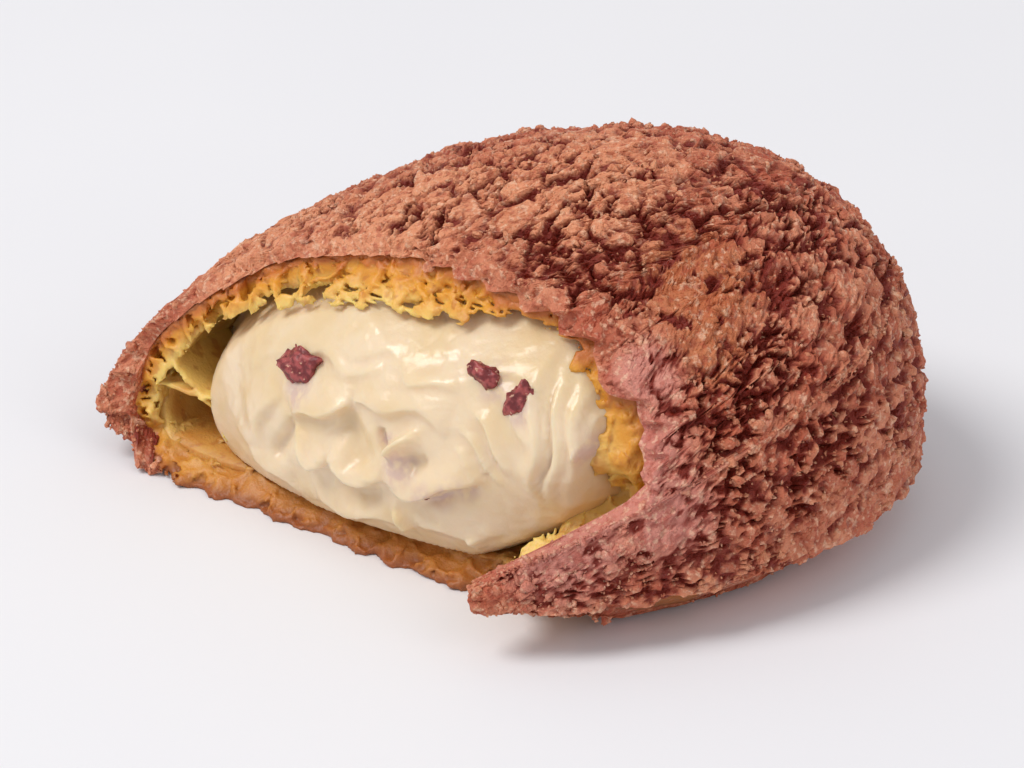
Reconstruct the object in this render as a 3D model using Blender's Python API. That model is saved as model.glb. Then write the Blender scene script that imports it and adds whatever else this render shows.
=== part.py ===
"""Cream puff with a cookie crust, torn open down one side to show its cream.

Metres, +Z up. The puff rests on z = 0 with the middle of its flat base near the
origin. +X points to the steep, full side, and the torn side faces -X and -Y.

Three layers lie inside one another: the cookie crust, the choux shell and the
cream. Each is a dome of the same form, inset from the one outside it, and each
is cut by its own sheet on the torn side. A sheet is stated as a distance from
the middle of the puff, for a place along the tear and a height.
"""
import math

import bmesh
import bpy
from mathutils import Vector

# Whole puff, before anything is torn off
HALF_WIDTH = 0.042          # along X, at the widest level
HALF_DEPTH = 0.0357         # along Y, at the widest level
WIDEST_HEIGHT = 0.0058      # the widest level above the table
CROWN_RISE = 0.0323         # the crown above the widest level
CROWN_LEAN = 0.0147         # how far the crown has slumped towards +X
LEAN_CURVE = 1.2            # the slump grows faster than the height
FULLNESS = 1.74             # 2 is a true ellipsoid, less is more pointed
UNDERCUT = 2.15             # how fast the side tucks in below the widest level
SWELL = 0.014               # slow unevenness, as a share of the half width
SWELL_TURN = 0.9
SHOULDER = 0.0012           # extra fullness half way up the long, low end
SHOULDER_TURN = 0.4
LUMP = 0.0005               # broad lumps on the cookie crust
LUMPS_AROUND = 9.0
LUMPS_UP = 7.0

# Layers, from the outside in
CRUST = 0.0020              # cookie dough baked on top
WALL = 0.0033               # choux wall
WALL_THINNED = 0.0023       # the wall is this much thinner high up at the right of the tear
THINNED_START = 0.000       # along the tear
THINNED_END = 0.014
THINNED_BACK = 0.000        # out towards the tear
THINNED_FRONT = 0.010
THINNED_LOW = 0.012         # upwards
THINNED_HIGH = 0.022
FLOOR = 0.0025              # choux floor
HEM_HEIGHT = 0.0018         # the cookie crust stops this far above the table
GAP = 0.0003                # clearance between touching layers

# Torn side
TEAR_FACING = math.radians(233.13)
TEAR_DISTANCE = 0.0152
FLOOR_REACH = 0.0042        # the floor is left sticking out this much further
FLOOR_REACH_HEIGHT = 0.009
RAGGED = 0.0006             # waviness of the torn edge
RAGGED_WAVE = 0.0070
RAGGED_RISE_WAVE = 0.0090

# A flap of wall left standing at the low, right corner of the tear
FLAP_REACH = 0.0140
FLAP_FOOT = 0.0070          # below this the flap is broken away again
FLAP_LOW = 0.0075           # from here up it narrows
FLAP_HIGH = 0.0175          # and here it has run out
FLAP_START = 0.012          # along the tear
FLAP_END = 0.020
FLAP_LAYER_STEP = 0.0026    # the choux is torn this much lower than the crust

# High up, the crust has flaked back from the choux
CRUST_SETBACK = 0.0020
SETBACK_LOW = 0.014
SETBACK_HIGH = 0.026

# Cream, as it bulges from the tear
CREAM_RIM = 0.0140          # tear distance where the cream meets the wall
CREAM_BULGE = 0.0075        # the middle stands out this much further
CREAM_HALF_WIDTH = 0.0290
CREAM_HALF_HEIGHT = 0.0145
CREAM_MIDDLE_ALONG = 0.0015
CREAM_MIDDLE_HEIGHT = 0.0120
CREAM_TILT = 0.14           # rise of the bulge's middle line per length along the tear
CREAM_RECESS = 0.0100       # past the rim of the bulge the cream falls back this much
RECESS_START = 0.85         # squared share of the bulge's half sizes
RECESS_END = 1.35
CREAM_CORNER = 0.0065       # extra bulge behind the flap
CORNER_START = 0.008
CORNER_END = 0.020
CORNER_LOW = 0.008
CORNER_HIGH = 0.022
CREAM_LIP = 0.0010          # depth of the crease under the main bulge
LIP_HEIGHT = 0.0095
LIP_SOFTNESS = 0.0018
CREAM_FOLD = 0.0005         # depth of the slanting folds
FOLD_WAVE = 0.0150
FOLD_RISE_WAVE = 0.0240

# Fineness of the meshes
AROUND = 56
RINGS = 24
SHEET_LONG = 44
SHEET_HIGH = 24
SHEET_HALF_LENGTH = 0.055
SHEET_LOW = -0.006
SHEET_TOP = 0.054
CUTTER_REACH = 0.060
SHARP_ANGLE = math.radians(40.0)

TOWARDS_TEAR = Vector((math.cos(TEAR_FACING), math.sin(TEAR_FACING), 0.0))
ALONG_TEAR = Vector((-math.sin(TEAR_FACING), math.cos(TEAR_FACING), 0.0))
UPWARDS = Vector((0.0, 0.0, 1.0))

CRUST_COLOR = (0.42, 0.15, 0.095)
CRUST_ROUGHNESS = 0.85
CHOUX_COLOR = (0.72, 0.42, 0.10)
CHOUX_ROUGHNESS = 0.70
CREAM_COLOR = (0.86, 0.74, 0.48)
CREAM_ROUGHNESS = 0.35


def smooth(value, start, end):
    """Ease from 0 at start to 1 at end."""
    share = min(1.0, max(0.0, (value - start) / (end - start)))
    return share * share * (3.0 - 2.0 * share)


def signed_power(value, power):
    return math.copysign(abs(value) ** power, value)


def wave(distance, length):
    return math.sin(math.tau * distance / length)


def shoulder(around, up):
    """Extra reach half way up the long, low end, which faces -X."""
    facing = max(0.0, -math.cos(around + SHOULDER_TURN)) ** 2
    return SHOULDER * facing * max(0.0, math.sin(2.0 * up))


def lump(around, up):
    """Broad lumps on the outside of the cookie crust."""
    across = math.sin(LUMPS_AROUND * around + LUMPS_UP * up)
    return LUMP * across * math.cos(LUMPS_UP * up - 2.0 * around) * math.cos(up)


def thinned_inset(direction, inset):
    """The inset of a layer inside the choux wall, less where the wall is thin."""
    place = puff_point(direction, inset, False)
    across = smooth(place.dot(ALONG_TEAR), THINNED_START, THINNED_END)
    out = smooth(place.dot(TOWARDS_TEAR), THINNED_BACK, THINNED_FRONT)
    high = smooth(place.z, THINNED_LOW, THINNED_HIGH)
    return inset - WALL_THINNED * across * out * high


def puff_point(direction, inset, lumpy):
    """Where the puff's skin, or a layer inset from it, lies in one direction."""
    around = math.atan2(direction.y, direction.x)
    up = math.asin(max(-1.0, min(1.0, direction.z)))
    rise = signed_power(math.sin(up), 2.0 / FULLNESS)
    reach = max(0.0, math.cos(up)) ** (2.0 / FULLNESS)
    swell = 1.0 + SWELL * math.sin(2.0 * around + SWELL_TURN) * math.cos(up)
    extra = shoulder(around, up)
    if lumpy:
        extra += lump(around, up)
    half_width = (HALF_WIDTH - inset) * swell + extra
    half_depth = (HALF_DEPTH - inset) * swell + extra
    if rise > 0.0:
        height = WIDEST_HEIGHT + (CROWN_RISE - inset) * rise
    else:
        height = WIDEST_HEIGHT + WIDEST_HEIGHT * UNDERCUT * rise
    lean = CROWN_LEAN * (max(0.0, height - WIDEST_HEIGHT) / CROWN_RISE) ** LEAN_CURVE
    return Vector((half_width * reach * math.cos(around) + lean,
                   half_depth * reach * math.sin(around), height))


def tear_distance(along, height, flap_drop):
    """How far out a layer is left standing on the torn side."""
    distance = TEAR_DISTANCE + FLOOR_REACH * (1.0 - smooth(height, 0.0, FLOOR_REACH_HEIGHT))
    flap_top = smooth(height + flap_drop, FLAP_LOW, FLAP_HIGH)
    flap = max(0.0, smooth(height, 0.0, FLAP_FOOT) - flap_top)
    distance += FLAP_REACH * flap * smooth(along, FLAP_START, FLAP_END)
    return distance + RAGGED * wave(along, RAGGED_WAVE) * wave(height + along, RAGGED_RISE_WAVE)


def choux_distance(along, height):
    return tear_distance(along, height, FLAP_LAYER_STEP)


def crust_distance(along, height):
    setback = CRUST_SETBACK * smooth(height, SETBACK_LOW, SETBACK_HIGH)
    return tear_distance(along, height, 0.0) - setback


def cream_distance(along, height):
    """How far out the cream bulges on the torn side."""
    middle_height = CREAM_MIDDLE_HEIGHT + CREAM_TILT * along
    across = (along - CREAM_MIDDLE_ALONG) / CREAM_HALF_WIDTH
    above = (height - middle_height) / CREAM_HALF_HEIGHT
    spread = across * across + above * above
    bulge = CREAM_BULGE * max(0.0, 1.0 - spread)
    corner = CREAM_CORNER * smooth(along, CORNER_START, CORNER_END)
    corner *= 1.0 - smooth(height, CORNER_LOW, CORNER_HIGH)
    recess = CREAM_RECESS * smooth(spread, RECESS_START, RECESS_END)
    from_lip = (height - LIP_HEIGHT - CREAM_TILT * along) / LIP_SOFTNESS
    lip = CREAM_LIP * math.exp(-from_lip * from_lip)
    fold = CREAM_FOLD * math.sin(math.tau * (along / FOLD_WAVE + height / FOLD_RISE_WAVE))
    return CREAM_RIM + bulge + corner - recess - lip - fold


def new_object(name, body, collection):
    mesh = bpy.data.meshes.new(name)
    body.to_mesh(mesh)
    body.free()
    thing = bpy.data.objects.new(name, mesh)
    collection.objects.link(thing)
    return thing


def puff_solid(name, inset, base, collection, lumpy=False, within_wall=False):
    """A closed dome of the puff's form, cut flat at the height of its base."""
    body = bmesh.new()
    bmesh.ops.create_uvsphere(body, u_segments=AROUND, v_segments=RINGS, radius=1.0)
    for vert in body.verts:
        depth = thinned_inset(vert.co, inset) if within_wall else inset
        vert.co = puff_point(vert.co, depth, lumpy)
    everything = body.verts[:] + body.edges[:] + body.faces[:]
    cut = bmesh.ops.bisect_plane(body, geom=everything, dist=1e-6, clear_inner=True,
                                 plane_co=UPWARDS * base, plane_no=UPWARDS)
    rim = [part for part in cut["geom_cut"] if isinstance(part, bmesh.types.BMEdge)]
    bmesh.ops.contextual_create(body, geom=rim)
    bmesh.ops.recalc_face_normals(body, faces=body.faces[:])
    return new_object(name, body, collection)


def torn_cutter(name, distance, collection):
    """A thick block whose near face is one layer's torn sheet."""
    body = bmesh.new()
    bmesh.ops.create_grid(body, x_segments=SHEET_LONG, y_segments=SHEET_HIGH, size=1.0)
    for vert in body.verts:
        along = SHEET_HALF_LENGTH * vert.co.x
        height = SHEET_LOW + (SHEET_TOP - SHEET_LOW) * (1.0 + vert.co.y) / 2.0
        vert.co = ALONG_TEAR * along + UPWARDS * height + TOWARDS_TEAR * distance(along, height)
    pushed = bmesh.ops.extrude_face_region(body, geom=body.faces[:])
    for part in pushed["geom"]:
        if isinstance(part, bmesh.types.BMVert):
            part.co += TOWARDS_TEAR * (CUTTER_REACH - part.co.dot(TOWARDS_TEAR))
    bmesh.ops.recalc_face_normals(body, faces=body.faces[:])
    return new_object(name, body, collection)


def cut_away(thing, cutter):
    modifier = thing.modifiers.new("cut " + cutter.name, "BOOLEAN")
    modifier.operation = "DIFFERENCE"
    modifier.solver = "EXACT"
    modifier.object = cutter
    cutter.hide_render = True
    cutter.display_type = "WIRE"


def finish(thing, color, roughness):
    material = bpy.data.materials.new(thing.name)
    material.use_nodes = True
    shader = material.node_tree.nodes["Principled BSDF"]
    shader.inputs["Base Color"].default_value = (*color, 1.0)
    shader.inputs["Roughness"].default_value = roughness
    shader.inputs["Metallic"].default_value = 0.0
    thing.data.materials.append(material)
    thing.data.shade_smooth()
    thing.data.set_sharp_from_angle(angle=SHARP_ANGLE)


def cookie_crust(parts, cutters):
    """Craquelin: a thin round of cookie dough, baked on over the choux."""
    crust = puff_solid("cookie_crust", 0.0, HEM_HEIGHT, parts, lumpy=True)
    cut_away(crust, puff_solid("under_the_crust", CRUST, 0.0, cutters))
    cut_away(crust, torn_cutter("torn_crust", crust_distance, cutters))
    finish(crust, CRUST_COLOR, CRUST_ROUGHNESS)


def choux_shell(parts, cutters):
    """Choux: wall and floor round the cavity, standing on the table."""
    outside = CRUST + GAP
    shell = puff_solid("choux_shell", outside, 0.0, parts)
    cut_away(shell, puff_solid("cavity", outside + WALL, FLOOR, cutters, within_wall=True))
    cut_away(shell, torn_cutter("torn_choux", choux_distance, cutters))
    finish(shell, CHOUX_COLOR, CHOUX_ROUGHNESS)


def cream_filling(parts, cutters):
    """Cream: fills the cavity and bulges from the tear."""
    outside = CRUST + GAP + WALL + GAP
    cream = puff_solid("cream_filling", outside, FLOOR + GAP, parts, within_wall=True)
    cut_away(cream, torn_cutter("cream_face", cream_distance, cutters))
    finish(cream, CREAM_COLOR, CREAM_ROUGHNESS)


for old in list(bpy.data.objects):
    bpy.data.objects.remove(old, do_unlink=True)
puff = bpy.data.collections.new("cream_puff")
cutting = bpy.data.collections.new("cutters")
bpy.context.scene.collection.children.link(puff)
bpy.context.scene.collection.children.link(cutting)
cookie_crust(puff, cutting)
choux_shell(puff, cutting)
cream_filling(puff, cutting)
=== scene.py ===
"""A cookie-crusted cream puff, torn open down one side, on a pale table."""
import math

import bmesh
import bpy
import numpy as np
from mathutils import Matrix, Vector, noise


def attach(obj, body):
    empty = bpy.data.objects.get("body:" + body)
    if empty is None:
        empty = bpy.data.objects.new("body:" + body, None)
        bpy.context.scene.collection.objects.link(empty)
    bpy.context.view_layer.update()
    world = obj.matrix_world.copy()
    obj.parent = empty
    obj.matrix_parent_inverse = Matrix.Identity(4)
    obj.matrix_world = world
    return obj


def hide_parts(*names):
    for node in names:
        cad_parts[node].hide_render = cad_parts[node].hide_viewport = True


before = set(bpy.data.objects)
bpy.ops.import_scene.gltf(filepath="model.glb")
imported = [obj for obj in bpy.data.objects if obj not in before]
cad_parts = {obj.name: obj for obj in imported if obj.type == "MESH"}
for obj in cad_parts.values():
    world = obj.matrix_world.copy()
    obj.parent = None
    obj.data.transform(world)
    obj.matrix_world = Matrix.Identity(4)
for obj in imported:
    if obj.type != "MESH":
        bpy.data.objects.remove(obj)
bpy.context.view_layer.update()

# ---------------------------------------------------------------------------
# Choux case: eggs, flour and butter piped in a round and baked until hollow.
# Its outside is a slumped dome on a flat base. One side has been torn away, which
# leaves a wall and a floor standing round the cavity.
# ---------------------------------------------------------------------------
MM = 0.001
HALF_WIDTH = 42.0 * MM          # along X, at the widest level
HALF_DEPTH = 35.7 * MM          # along Y
WIDEST_HEIGHT = 5.8 * MM
CROWN_RISE = 32.3 * MM          # the crown above the widest level
CROWN_LEAN = 14.7 * MM          # how far the crown has slumped towards +X
LEAN_CURVE = 1.2
FULLNESS = 1.74                 # 2 is a true ellipsoid, less is more pointed
UNDERCUT = 2.15                 # how fast the side tucks in below the widest level
SWELL = 0.014
SWELL_TURN = 0.9
SHOULDER = 1.2 * MM             # extra fullness half way up the long, low end
SHOULDER_TURN = 0.4
CRUST = 2.0 * MM                # cookie dough baked on top
WALL = 3.3 * MM                 # choux wall
WALL_THINNED = 2.3 * MM         # the wall is this much thinner high up at the right of the tear
THINNED_ALONG = (0.0 * MM, 14.0 * MM)
THINNED_OUT = (0.0 * MM, 10.0 * MM)
THINNED_UP = (12.0 * MM, 22.0 * MM)
FLOOR = 2.5 * MM                # choux floor
HEM_HEIGHT = 1.8 * MM           # the cookie crust stops this far above the table
GAP = 0.3 * MM
TOWARDS_TEAR = np.array((-0.6, -0.8, 0.0))
ALONG_TEAR = np.array((0.8, -0.6, 0.0))
UPWARDS = np.array((0.0, 0.0, 1.0))
TEAR_DISTANCE = 15.2 * MM
FLOOR_REACH = 4.2 * MM          # the floor is left sticking out this much further
FLOOR_REACH_HEIGHT = 9.0 * MM
RAGGED = 0.6 * MM
RAGGED_WAVE = 7.0 * MM
RAGGED_RISE_WAVE = 9.0 * MM
FLAP_REACH = 14.0 * MM          # a flap of wall still stands at the low, right corner
FLAP_FOOT = 7.0 * MM
FLAP_LOW = 7.5 * MM
FLAP_HIGH = 17.5 * MM
FLAP_START = 12.0 * MM
FLAP_END = 20.0 * MM
FLAP_LAYER_STEP = 2.6 * MM      # the choux is torn this much lower than the crust
SIDE_ALONG = (16.0 * MM, 20.0 * MM)
SIDE_COVER = 0.1 * MM           # half way up at the right the wall and its crust stand further out
SIDE_COVER_UP = (20.0 * MM, 27.0 * MM)
FLAP_TRIM = 1.9 * MM            # over the flap they have crumbled back from there, and more at its foot
FLAP_TRIM_UP = (14.0 * MM, 17.0 * MM)
FLAP_TRIM_ALONG = (21.0 * MM, 24.5 * MM)
FOOT_TRIM = 1.5 * MM
FOOT_TRIM_UP = (3.5 * MM, 6.5 * MM)
HEART = np.array((4.0, 2.0, 10.0)) * MM     # a place inside, from which every skin is in sight


class Measure:
    """A number that a node tree works out at every point. Sums on it add nodes."""

    def __init__(self, socket):
        self.socket = socket

    def __add__(self, other):
        return work_out("ADD", self, other)

    def __sub__(self, other):
        return work_out("SUBTRACT", self, other)

    def __mul__(self, other):
        return work_out("MULTIPLY", self, other)

    def __truediv__(self, other):
        return work_out("DIVIDE", self, other)

    def __pow__(self, other):
        return work_out("POWER", self, other)

    def __radd__(self, other):
        return work_out("ADD", other, self)

    def __rsub__(self, other):
        return work_out("SUBTRACT", other, self)

    def __rmul__(self, other):
        return work_out("MULTIPLY", other, self)

    def __rtruediv__(self, other):
        return work_out("DIVIDE", other, self)

    def __neg__(self):
        return work_out("MULTIPLY", self, -1.0)


ARRAY_SUMS = {"MAXIMUM": np.maximum, "MINIMUM": np.minimum, "SINE": np.sin, "COSINE": np.cos,
              "SQRT": np.sqrt, "EXPONENT": np.exp, "ARCTAN2": np.arctan2, "ABSOLUTE": np.abs}


def add_node(tree, kind, values=None, output=0, **settings):
    """One node with its settings, and what goes into its sockets. Gives an output socket."""
    node = tree.nodes.new(kind)
    for name, value in settings.items():
        setattr(node, name, value)
    for slot, value in (values or {}).items():
        if isinstance(value, Measure):
            value = value.socket
        if isinstance(value, bpy.types.NodeSocket):
            tree.links.new(value, node.inputs[slot])
        else:
            node.inputs[slot].default_value = value
    return node.outputs[output]


def work_out(operation, *values):
    """A sum on plain arrays or, where a value comes from a node tree, a node that does it."""
    sockets = [value.socket for value in values if isinstance(value, Measure)]
    if not sockets:
        return ARRAY_SUMS[operation](*values)
    given = dict(enumerate(values))
    return Measure(add_node(sockets[0].id_data, "ShaderNodeMath", given, operation=operation))


def larger(first, second):
    return work_out("MAXIMUM", first, second)


def smaller(first, second):
    return work_out("MINIMUM", first, second)


def ease(value, start, end):
    """From 0 at start to 1 at end, with a soft beginning and end."""
    share = smaller(1.0, larger(0.0, (value - start) / (end - start)))
    return share * share * (3.0 - 2.0 * share)


def wave(distance, length):
    return work_out("SINE", distance * (math.tau / length))


def puff_depth(x, y, z, inset):
    """How far inside the puff's skin, or a layer inset from it, a place lies."""
    above = z - WIDEST_HEIGHT
    rise = larger(above / (CROWN_RISE - inset), above / (-WIDEST_HEIGHT * UNDERCUT))
    sideways = x - CROWN_LEAN * (larger(above, 0.0) / CROWN_RISE) ** LEAN_CURVE
    across = sideways / (HALF_WIDTH - inset)
    deep = y / (HALF_DEPTH - inset)
    around = work_out("ARCTAN2", deep, across)
    plan = work_out("SQRT", across * across + deep * deep + 1e-9)
    level = (plan / (plan ** FULLNESS + rise ** FULLNESS) ** (1.0 / FULLNESS)) ** (FULLNESS / 2.0)
    plan = plan / (1.0 + SWELL * work_out("SINE", around * 2.0 + SWELL_TURN) * level)
    whole = (plan ** FULLNESS + rise ** FULLNESS) ** (1.0 / FULLNESS)
    steep = (larger(above, 0.0) / (CROWN_RISE - inset) / whole) ** (FULLNESS / 2.0)
    facing = larger(0.0, -work_out("COSINE", around + SHOULDER_TURN))
    shoulder = 2.0 * SHOULDER * facing * facing * steep * level * plan / whole
    away = work_out("SQRT", sideways * sideways + y * y + above * above)
    return away * (1.0 / whole - 1.0) + shoulder


def hollow_inset(x, y, z):
    """How far the cavity lies inside the puff's skin."""
    across = ease(x * 0.8 - y * 0.6, *THINNED_ALONG)
    out = ease(x * -0.6 - y * 0.8, *THINNED_OUT)
    return CRUST + GAP + WALL - WALL_THINNED * across * out * ease(z, *THINNED_UP)


def tear_distance(along, height, flap_drop):
    """How far out towards the torn side a layer is left standing."""
    reach = 1.0 - ease(height, 0.0, FLOOR_REACH_HEIGHT)
    flap_top = ease(height + flap_drop, FLAP_LOW, FLAP_HIGH)
    flap = larger(0.0, ease(height, 0.0, FLAP_FOOT) - flap_top) * ease(along, FLAP_START, FLAP_END)
    ragged = wave(along, RAGGED_WAVE) * wave(height + along, RAGGED_RISE_WAVE)
    return TEAR_DISTANCE + FLOOR_REACH * reach + FLAP_REACH * flap + RAGGED * ragged


def side_cover(along, height):
    """How much further out the wall stands at the right than the plain tear."""
    trimmed = FLAP_TRIM * (1.0 - ease(height, *FLAP_TRIM_UP)) * ease(along, *FLAP_TRIM_ALONG)
    trimmed = trimmed + FOOT_TRIM * (1.0 - ease(height, *FOOT_TRIM_UP))
    return ease(along, *SIDE_ALONG) * (SIDE_COVER * (1.0 - ease(height, *SIDE_COVER_UP)) - trimmed)


def reach_along(directions, depth, start):
    """Where each ray from a place inside leaves the solid whose depth is given."""
    near = np.zeros(len(directions))
    far = np.full(len(directions), 2.0 * HALF_WIDTH)
    for _ in range(26):
        middle = (near + far) / 2.0
        place = start + directions * middle[:, None]
        inside = depth(place[:, 0], place[:, 1], place[:, 2]) > 0.0
        near = np.where(inside, middle, near)
        far = np.where(inside, far, middle)
    return start + directions * near[:, None]


def rays(pole, tilt, turn):
    """Directions at a tilt from a pole, turned round it."""
    pole = pole / np.linalg.norm(pole)
    side = np.cross(pole, UPWARDS)
    side /= np.linalg.norm(side)
    other = np.cross(pole, side)
    flat = np.cos(turn)[:, None] * side + np.sin(turn)[:, None] * other
    return np.cos(tilt)[:, None] * pole + np.sin(tilt)[:, None] * flat


def round_grid(cells):
    """A square grid pressed into a circle: how far out each corner is, and its turn."""
    steps = np.linspace(-1.0, 1.0, cells + 1)
    first, second = (side.ravel() for side in np.meshgrid(steps, steps, indexing="ij"))
    wide = abs(first) > abs(second)
    out = np.where(wide, first, second)
    share = np.where(wide, second, first) / np.where(out == 0.0, 1.0, out)
    turn = np.where(wide, math.pi / 4 * share, math.pi / 2 - math.pi / 4 * share)
    return abs(out), (turn + np.where(out < 0.0, math.pi, 0.0)) % math.tau


def round_edge(cells):
    """The corners along a round grid's edge, in order."""
    size = cells + 1
    run = np.arange(cells)
    return np.concatenate((run * size, cells * size + run, (cells - run) * size + cells, cells - run))


def opened_skin(cells, pole, depth, kept, cut_on=None):
    """A skin over a round grid that ends where the puff has been torn or trimmed away. The
    tear is found on this skin, or on another one that it lies under."""
    cut_on = cut_on or depth
    turns = np.linspace(0.0, math.tau, 1440, endpoint=False)
    tilts = np.linspace(0.05, 2.9, 220)
    tilt, turn = (side.ravel() for side in np.meshgrid(tilts, turns, indexing="ij"))
    place = reach_along(rays(pole, tilt, turn), cut_on, HEART)
    lost = (kept(place) <= 0.0).reshape(len(tilts), len(turns))
    first = np.argmax(lost, axis=0)
    low, high = tilts[first - 1], tilts[first]
    for _ in range(14):
        middle = (low + high) / 2.0
        still = kept(reach_along(rays(pole, middle, turns), cut_on, HEART)) > 0.0
        low = np.where(still, middle, low)
        high = np.where(still, high, middle)
    out, turn = round_grid(cells)
    tilt = out * np.interp(turn, np.append(turns, math.tau), np.append(low, low[0]))
    return reach_along(rays(pole, tilt, turn), depth, HEART)


def closed_mesh(name, front, front_cells, back, back_cells, rows):
    """Two round grids joined round their edges. The front has a whole number of cells for
    each cell of the back, and the rows of wall between them are as fine as the front."""
    points = [front]
    faces = []
    for cells, start in ((front_cells, 0), (back_cells, (front_cells + 1) ** 2)):
        corner = np.add.outer(np.arange(cells) * (cells + 1), np.arange(cells)).ravel() + start
        quads = np.stack((corner, corner + cells + 1, corner + cells + 2, corner + 1), axis=1)
        faces += quads.tolist()
    points.append(back)
    front_edge = round_edge(front_cells)
    fine = front_cells // back_cells
    back_edge = round_edge(back_cells) + len(front)
    back_rim = back[round_edge(back_cells)]
    ends = np.roll(back_rim, -1, axis=0)
    steps = np.arange(fine) / fine
    back_fine = (back_rim[:, None] + (ends - back_rim)[:, None] * steps[None, :, None]).reshape(-1, 3)
    last = front_edge
    count = len(front) + len(back)
    for row in range(1, rows + 1):
        points.append(front[front_edge] + (back_fine - front[front_edge]) * row / (rows + 1))
        ring = np.arange(len(front_edge)) + count
        count += len(ring)
        faces += np.stack((last, ring, np.roll(ring, -1), np.roll(last, -1)), axis=1).tolist()
        last = ring
    for cell in range(len(back_edge)):
        run = [last[(cell * fine + step) % len(last)] for step in range(fine + 1)]
        faces.append([*map(int, run), int(back_edge[(cell + 1) % len(back_edge)]), int(back_edge[cell])])
    mesh = bpy.data.meshes.new(name)
    mesh.from_pydata(np.concatenate(points).tolist(), [], faces)
    body = bmesh.new()
    body.from_mesh(mesh)
    bmesh.ops.recalc_face_normals(body, faces=body.faces[:])
    body.to_mesh(mesh)
    body.free()
    mesh.shade_smooth()
    return mesh


def mark(mesh, name, values):
    """Keep one number for each point of a mesh, for node trees and materials to read."""
    mesh.attributes.new(name, "FLOAT", "POINT").data.foreach_set("value", values.astype(np.float32))


def places(mesh):
    flat = np.empty(len(mesh.vertices) * 3)
    mesh.vertices.foreach_get("co", flat)
    return flat.reshape(-1, 3)


class Recipe:
    """A Geometry Nodes tree, its sizes given as named inputs."""

    def __init__(self, name, sizes):
        self.tree = bpy.data.node_groups.new(name, "GeometryNodeTree")
        face = self.tree.interface
        face.new_socket("Shape", in_out="INPUT", socket_type="NodeSocketGeometry")
        face.new_socket("Shape", in_out="OUTPUT", socket_type="NodeSocketGeometry")
        self.settings = {}
        for label, value in sizes.items():
            kind = "NodeSocketInt" if isinstance(value, int) else "NodeSocketFloat"
            socket = face.new_socket(label, in_out="INPUT", socket_type=kind)
            self.settings[socket.identifier] = value
        self.given = self.tree.nodes.new("NodeGroupInput")
        self.shape = self.given.outputs["Shape"]

    def size(self, label):
        return Measure(self.given.outputs[label])

    def place(self):
        return add_node(self.tree, "GeometryNodeInputPosition")

    def read(self, name):
        return Measure(add_node(self.tree, "GeometryNodeInputNamedAttribute", {"Name": name},
                                data_type="FLOAT"))

    def shift(self, offset):
        self.shape = add_node(self.tree, "GeometryNodeSetPosition",
                              {"Geometry": self.shape, "Offset": offset})

    def keep(self, name, value, domain="POINT"):
        """Store a number on the shape, under a name that its material reads."""
        self.shape = add_node(self.tree, "GeometryNodeStoreNamedAttribute",
                              {"Geometry": self.shape, "Name": name, "Value": value},
                              data_type="FLOAT", domain=domain)

    def finish(self, piece, material):
        """End the tree, run it on a piece, and leave the piece with a plain mesh."""
        real = add_node(self.tree, "GeometryNodeRealizeInstances", {"Geometry": self.shape})
        dressed = add_node(self.tree, "GeometryNodeSetMaterial",
                           {"Geometry": real, "Material": material})
        end = self.tree.nodes.new("NodeGroupOutput")
        self.tree.links.new(dressed, end.inputs["Shape"])
        modifier = piece.modifiers.new(self.tree.name, "NODES")
        modifier.node_group = self.tree
        for identifier, value in self.settings.items():
            modifier[identifier] = value
        shown = piece.evaluated_get(bpy.context.evaluated_depsgraph_get())
        mesh = bpy.data.meshes.new_from_object(shown)
        piece.modifiers.remove(modifier)
        piece.data = mesh
        mesh.name = piece.name
        if not mesh.materials:
            mesh.materials.append(material)


def new_piece(name, mesh):
    piece = bpy.data.objects.new(name, mesh)
    bpy.context.scene.collection.objects.link(piece)
    return piece


def hue(red, green, blue):
    """A colour from its values on a screen, 0 to 255, as a shader takes it."""
    return [((value / 255.0 + 0.055) / 1.055) ** 2.4 for value in (red, green, blue)] + [1.0]


def mixed(tree, share, first, second):
    """Two colours mixed, by a share that may change from place to place."""
    return add_node(tree, "ShaderNodeMix", {0: share, 6: first, 7: second}, output=2,
                    data_type="RGBA")


def grain(tree, place, size, detail=2.0, seed=0.0):
    """Soft unevenness of one size, from 0 to 1."""
    return Measure(add_node(tree, "ShaderNodeTexNoise",
                            {"Vector": place, "W": seed, "Scale": 1.0 / size, "Detail": detail},
                            noise_dimensions="4D"))


def stirred(tree, place, size, amount):
    """Places pushed about, so that a pattern read at them has no straight lines."""
    push = add_node(tree, "ShaderNodeTexNoise", {"Vector": place, "Scale": 1.0 / size}, output=1)
    centred = add_node(tree, "ShaderNodeVectorMath", {0: push, 1: (0.5, 0.5, 0.5)},
                       operation="SUBTRACT")
    sized = add_node(tree, "ShaderNodeVectorMath", {0: centred, "Scale": amount}, operation="SCALE")
    return add_node(tree, "ShaderNodeVectorMath", {0: place, 1: sized}, operation="ADD")


def cell_wall(tree, place, size):
    """How far a place is from the wall between two cells of about this size, in metres."""
    share = add_node(tree, "ShaderNodeTexVoronoi", {"Vector": place, "Scale": 1.0 / size},
                     feature="DISTANCE_TO_EDGE")
    return Measure(share) * size


def cell_middle(tree, place, size):
    """How far a place is from the middle of its cell: 0 there, about 0.6 at its corners."""
    return Measure(add_node(tree, "ShaderNodeTexVoronoi", {"Vector": place, "Scale": 1.0 / size},
                            feature="F1"))


def cell_level(tree, place, size):
    """A number from 0 to 1 that changes at once from each cell to the next."""
    color = add_node(tree, "ShaderNodeTexVoronoi", {"Vector": place, "Scale": 1.0 / size}, output=1,
                     feature="F1")
    return Measure(add_node(tree, "ShaderNodeSeparateXYZ", {0: color}, output=0))


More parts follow.
